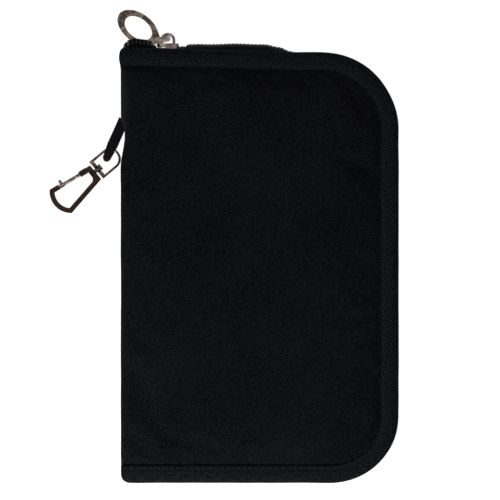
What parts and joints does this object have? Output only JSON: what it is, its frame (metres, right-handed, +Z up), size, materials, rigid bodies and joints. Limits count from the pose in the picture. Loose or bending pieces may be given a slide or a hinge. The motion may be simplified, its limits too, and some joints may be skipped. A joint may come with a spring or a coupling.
{
  "type": "passport wallet",
  "caption": "Zip-around fabric passport wallet that opens like a book, with a ring puller and a swivel snap hook on a spine strap.",
  "frame": {"origin": "centre of the back cover's underside, with the closed wallet lying on its back cover", "axes": "+X from the spine to the opening edge, +Y along the spine towards the zip slider, +Z up through the closed wallet"},
  "size_m": [0.145, 0.196, 0.02],
  "materials": {
    "shell_fabric": "plain woven nylon, matt with a faint sheen",
    "binding_tape": "herringbone grosgrain tape, matt",
    "lining_fabric": "fine plain lining fabric",
    "stiffener_board": "polyethylene board",
    "foam": "closed-cell foam",
    "zip_tape": "woven polyester zip tape",
    "zip_coil": "nylon coil, semi-gloss",
    "nickel": "nickel plate, polished",
    "dark_nickel": "dark nickel plate, polished",
    "strap_webbing": "ribbed nylon webbing",
    "elastic": "knitted elastic"
  },
  "bodies": {
    "back_cover": {"back_outer_panel": "shell_fabric", "back_stiffener": "stiffener_board", "back_lining": "lining_fabric", "back_binding": "binding_tape", "passport_sleeve": "lining_fabric", "back_zip_tape": "zip_tape", "back_zip_coil": "zip_coil", "back_zip_stops": "nickel", "strap_anchor": "strap_webbing"},
    "spine": {"spine_outer_panel": "shell_fabric", "spine_foam": "foam", "spine_lining": "lining_fabric", "pen_loop": "elastic"},
    "front_cover": {"front_outer_panel": "shell_fabric", "front_stiffener": "stiffener_board", "front_lining": "lining_fabric", "front_binding": "binding_tape", "front_zip_tape": "zip_tape", "front_zip_coil": "zip_coil", "front_zip_stops": "nickel", "boarding_pass_pocket": "lining_fabric", "card_pocket_upper": "lining_fabric", "card_pocket_middle": "lining_fabric", "card_pocket_lower": "lining_fabric"},
    "zip_slider": {"slider_body": "nickel", "slider_bridge": "nickel"},
    "link": {"pull_link": "nickel", "link_pin": "dark_nickel"},
    "ring": {"ring_puller": "dark_nickel"},
    "strap": {"hook_strap": "strap_webbing"},
    "eye": {"swivel_eye": "nickel"},
    "hook": {"hook_frame": "dark_nickel", "swivel_post": "nickel", "bolt_spring": "nickel"},
    "bolt": {"gate_bolt": "nickel"}
  },
  "joints": [
    {"name": "spine_fold", "type": "hinge", "parent": "back_cover", "child": "spine", "pos_m": [-0.0575, 0, 0.0036], "axis": [0, -1, 0], "range_deg": [0, 70]},
    {"name": "front_cover_fold", "type": "hinge", "parent": "spine", "child": "front_cover", "pos_m": [-0.0575, 0, 0.0164], "axis": [0, -1, 0], "range_deg": [0, 110], "deforming": ["front_zip_tape", "front_zip_coil"]},
    {"name": "zip_slide", "type": "slide", "parent": "back_cover", "child": "zip_slider", "axis": [1, 0, 0], "range_m": [-0.01, 0.052], "deforming": ["back_zip_tape", "back_zip_coil"]},
    {"name": "link_swing", "type": "hinge", "parent": "zip_slider", "child": "link", "pos_m": [-0.038, 0.09468, 0.01], "axis": [0, 0, 1], "range_deg": [-125, 0]},
    {"name": "ring_swing", "type": "hinge", "parent": "link", "child": "ring", "pos_m": [-0.04332, 0.09374, 0.01], "axis": [0, 0, 1], "range_deg": [-10, 15]},
    {"name": "strap_bend", "type": "hinge", "parent": "back_cover", "child": "strap", "pos_m": [-0.0593, 0.05516, 0.0019], "axis": [0, -1, 0], "range_deg": [-80, 0]},
    {"name": "eye_swing", "type": "hinge", "parent": "strap", "child": "eye", "pos_m": [-0.06208, 0.04891, 0.0019], "axis": [0, 0, 1], "range_deg": [-35, 3]},
    {"name": "hook_swivel", "type": "hinge", "parent": "eye", "child": "hook", "pos_m": [-0.06772, 0.04037, 0.0019], "axis": [-0.766, -0.6428, 0], "continuous": true},
    {"name": "bolt_slide", "type": "slide", "parent": "hook", "child": "bolt", "axis": [0.8572, 0.515, 0], "range_m": [0, 0.004], "stiffness_N_per_m": 300, "deforming": ["bolt_spring"]}
  ]
}
